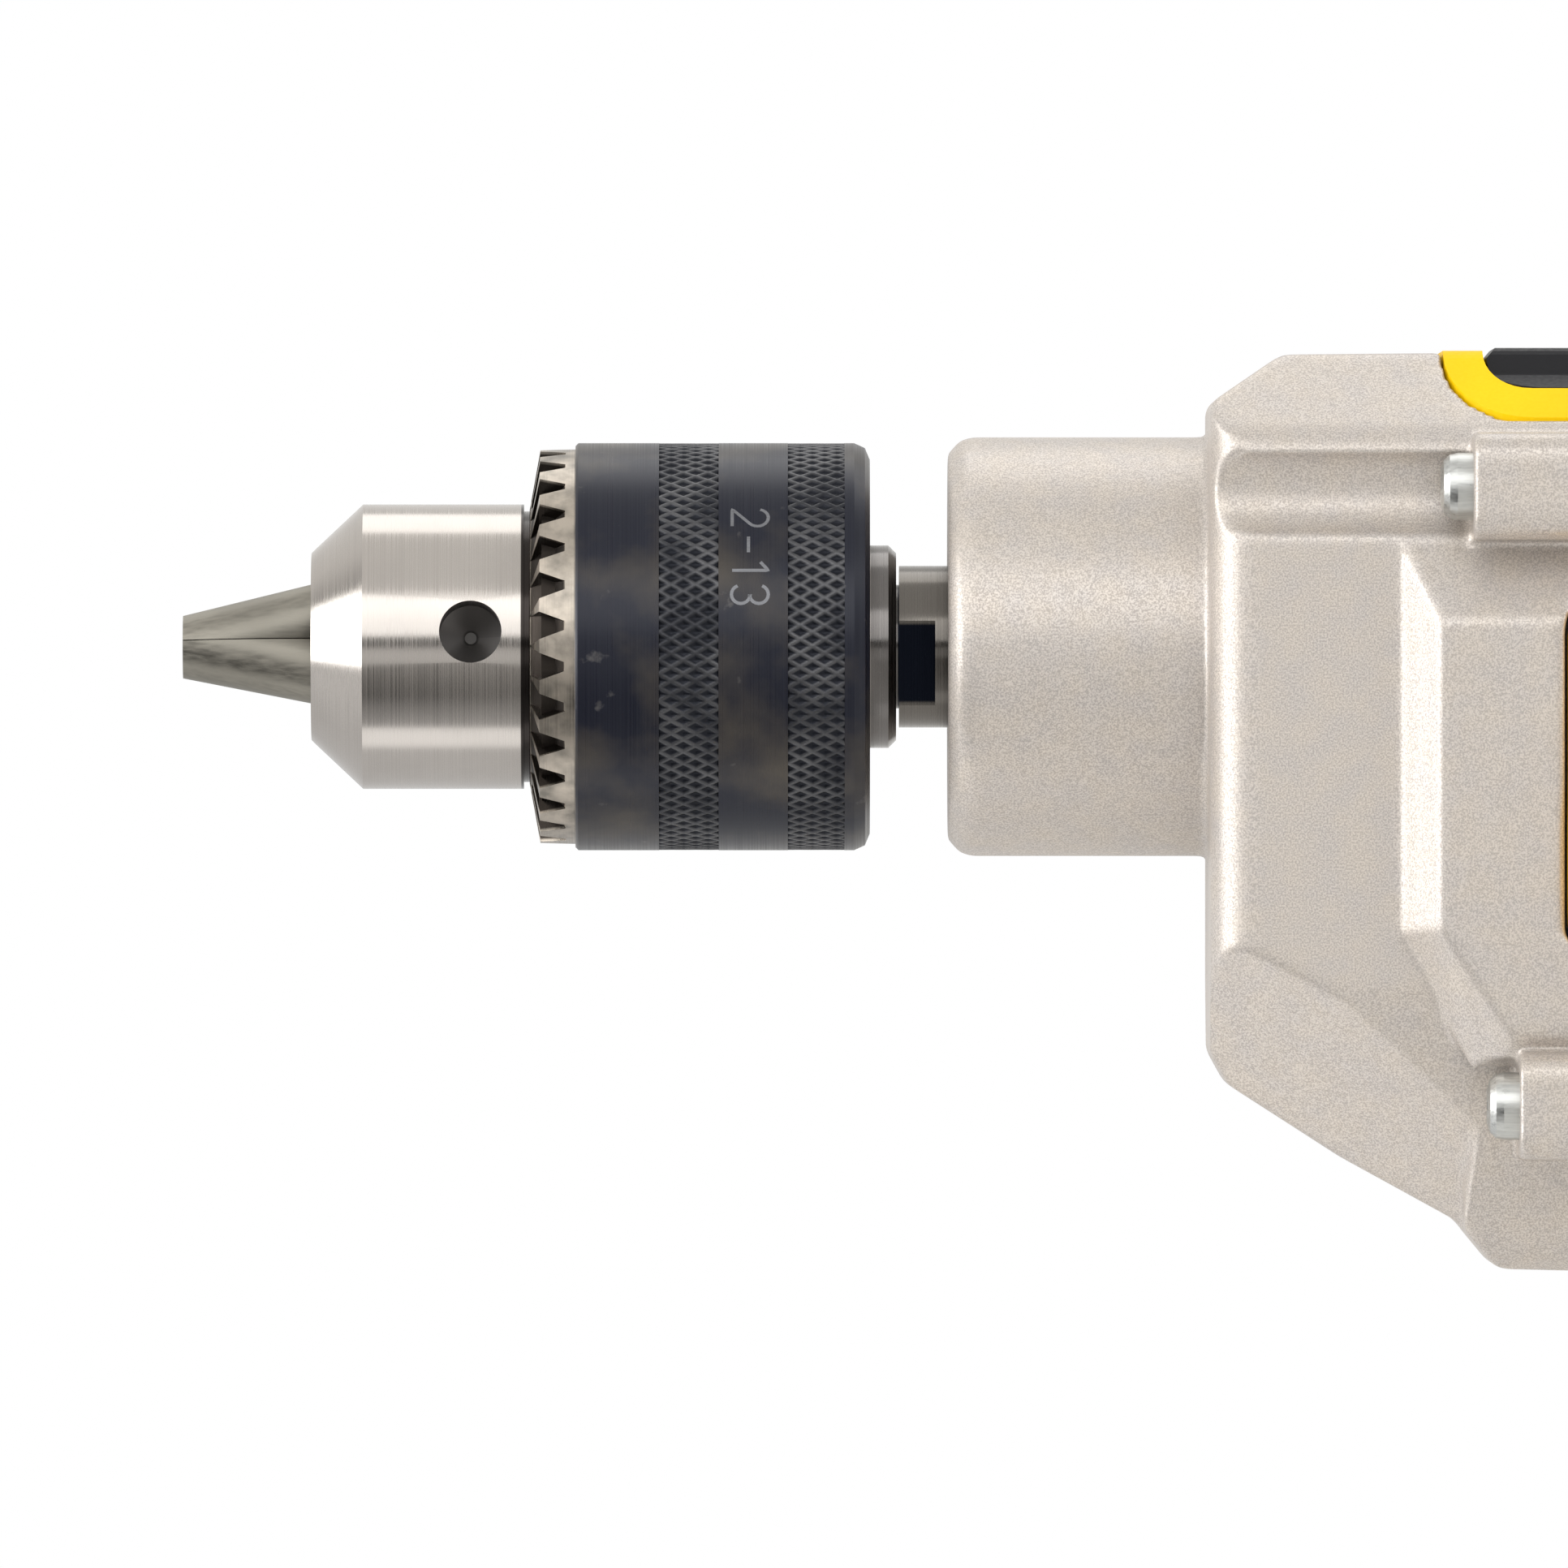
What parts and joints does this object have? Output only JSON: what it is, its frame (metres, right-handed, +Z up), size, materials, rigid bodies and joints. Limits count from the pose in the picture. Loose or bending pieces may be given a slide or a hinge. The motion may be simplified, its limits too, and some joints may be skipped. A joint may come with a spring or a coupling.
{
  "type": "hammer drill",
  "caption": "Corded hammer drill with a keyed three-jaw chuck, die-cast gear housing, clamshell body, pistol grip, trigger and working gear train.",
  "frame": {"origin": "on the spindle axis, where the side handle's collar meets the front face of the gear housing", "axes": "+X rearward along the spindle, from the chuck to the grip; +Z up; +Y to the tool's right side"},
  "size_m": [0.3261, 0.0832, 0.2165],
  "materials": {
    "cast_metal": "champagne metallic paint, fine grain",
    "bright_steel": "turned and ground steel",
    "jaw_steel": "ground steel, dark",
    "black_steel": "black oxide, satin",
    "screw_zinc": "zinc plated",
    "screw_black": "black zinc",
    "hardened_steel": "hardened and ground",
    "bearing_steel": "ground",
    "spring_steel": "oiled spring wire",
    "bracket_alloy": "raw die casting",
    "bronze": "sintered bronze",
    "brass": "pressed brass",
    "copper": "copper",
    "enamel_wire": "varnished copper wire",
    "laminations": "stacked sheet, varnished",
    "carbon": "pressed carbon",
    "yellow_plastic": "moulded, fine grain",
    "bright_yellow": "moulded, satin gloss",
    "black_plastic": "moulded, fine grain",
    "soft_grip": "matt overmould",
    "capacitor_film": "potted box"
  },
  "bodies": {
    "tool_body": {"gear_housing": "cast_metal", "housing_screws": "screw_zinc", "dust_seal": "soft_grip", "hammer_spring": "spring_steel", "fixed_ratchet": "hardened_steel", "rear_bracket": "bracket_alloy", "spindle_bush": "bronze", "body_left": "yellow_plastic", "body_right": "yellow_plastic", "body_screws": "screw_black", "grip_left": "soft_grip", "grip_right": "soft_grip", "selector_bezel": "bright_yellow", "stator_core": "laminations", "field_coils": "enamel_wire", "air_baffle": "black_plastic", "armature_front_bearing": "bearing_steel", "armature_rear_bearing": "bearing_steel", "bearing_boot": "soft_grip", "brush_holders": "brass", "carbon_brushes": "carbon", "brush_springs": "spring_steel", "trigger_switch": "black_plastic", "cord_gland": "soft_grip", "cord_clamp": "black_plastic", "clamp_screws": "screw_zinc", "capacitor": "capacitor_film"},
    "spindle_carriage": {"front_bearing": "bearing_steel"},
    "spindle": {"front_bearing_ring": "bearing_steel", "spindle": "bright_steel", "rotating_ratchet": "hardened_steel", "spindle_gear": "hardened_steel", "chuck_body": "bright_steel", "chuck_screw": "screw_zinc"},
    "chuck_sleeve": {"chuck_sleeve": "black_steel", "split_nut": "hardened_steel"},
    "jaw_1": {"jaw_1": "jaw_steel"},
    "jaw_2": {"jaw_2": "jaw_steel"},
    "jaw_3": {"jaw_3": "jaw_steel"},
    "armature": {"armature_shaft": "hardened_steel", "armature_core": "laminations", "armature_coils": "enamel_wire", "commutator": "copper", "cooling_fan": "black_plastic"},
    "trigger": {"trigger": "black_plastic"},
    "speed_dial": {"speed_dial": "black_plastic"},
    "lock_button": {"lock_button": "black_plastic"},
    "direction_lever": {"direction_lever": "black_plastic"},
    "selector": {"selector_knob": "black_plastic", "selector_fork": "hardened_steel"}
  },
  "joints": [
    {"name": "spindle_float", "type": "slide", "parent": "tool_body", "child": "spindle_carriage", "axis": [1, 0, 0], "range_m": [0, 0.0015], "stiffness_N_per_m": 20000, "springref_m": -0.002, "deforming": ["hammer_spring"]},
    {"name": "spindle_spin", "type": "hinge", "parent": "spindle_carriage", "child": "spindle", "pos_m": [0, 0, 0], "axis": [1, 0, 0], "continuous": true},
    {"name": "armature_spin", "type": "hinge", "parent": "tool_body", "child": "armature", "pos_m": [0, 0, -0.022], "axis": [1, 0, 0], "continuous": true},
    {"name": "sleeve_turn", "type": "hinge", "parent": "spindle", "child": "chuck_sleeve", "pos_m": [0, 0, 0], "axis": [1, 0, 0], "range_deg": [0, 5400]},
    {"name": "jaw_1_slide", "type": "slide", "parent": "spindle", "child": "jaw_1", "axis": [0.9681, -0.0815, 0.2367], "range_m": [0, 0.025]},
    {"name": "jaw_2_slide", "type": "slide", "parent": "spindle", "child": "jaw_2", "axis": [0.9681, -0.1643, -0.189], "range_m": [0, 0.025]},
    {"name": "jaw_3_slide", "type": "slide", "parent": "spindle", "child": "jaw_3", "axis": [0.9681, 0.2458, -0.0478], "range_m": [0, 0.025]},
    {"name": "trigger_pull", "type": "slide", "parent": "tool_body", "child": "trigger", "axis": [1, 0, 0], "range_m": [0, 0.006], "stiffness_N_per_m": 1500, "springref_m": -0.003},
    {"name": "speed_dial_turn", "type": "hinge", "parent": "trigger", "child": "speed_dial", "pos_m": [0.158, 0, -0.081], "axis": [1, 0, 0], "range_deg": [-135, 135]},
    {"name": "lock_button_push", "type": "slide", "parent": "tool_body", "child": "lock_button", "axis": [0, 1, 0], "range_m": [0, 0.003], "stiffness_N_per_m": 600, "springref_m": -0.002},
    {"name": "direction_lever_swing", "type": "hinge", "parent": "tool_body", "child": "direction_lever", "pos_m": [0.174, 0, -0.0575], "axis": [0, 0, 1], "range_deg": [-12, 12]},
    {"name": "selector_slide", "type": "slide", "parent": "tool_body", "child": "selector", "axis": [1, 0, 0], "range_m": [0, 0.005]}
  ],
  "couplings": [
    {"joint": "armature_spin", "follows": "spindle_spin", "ratio": -4.5},
    {"joint": "jaw_1_slide", "follows": "sleeve_turn", "m_per_rad": 0.00026526},
    {"joint": "jaw_2_slide", "follows": "sleeve_turn", "m_per_rad": 0.00026526},
    {"joint": "jaw_3_slide", "follows": "sleeve_turn", "m_per_rad": 0.00026526}
  ]
}
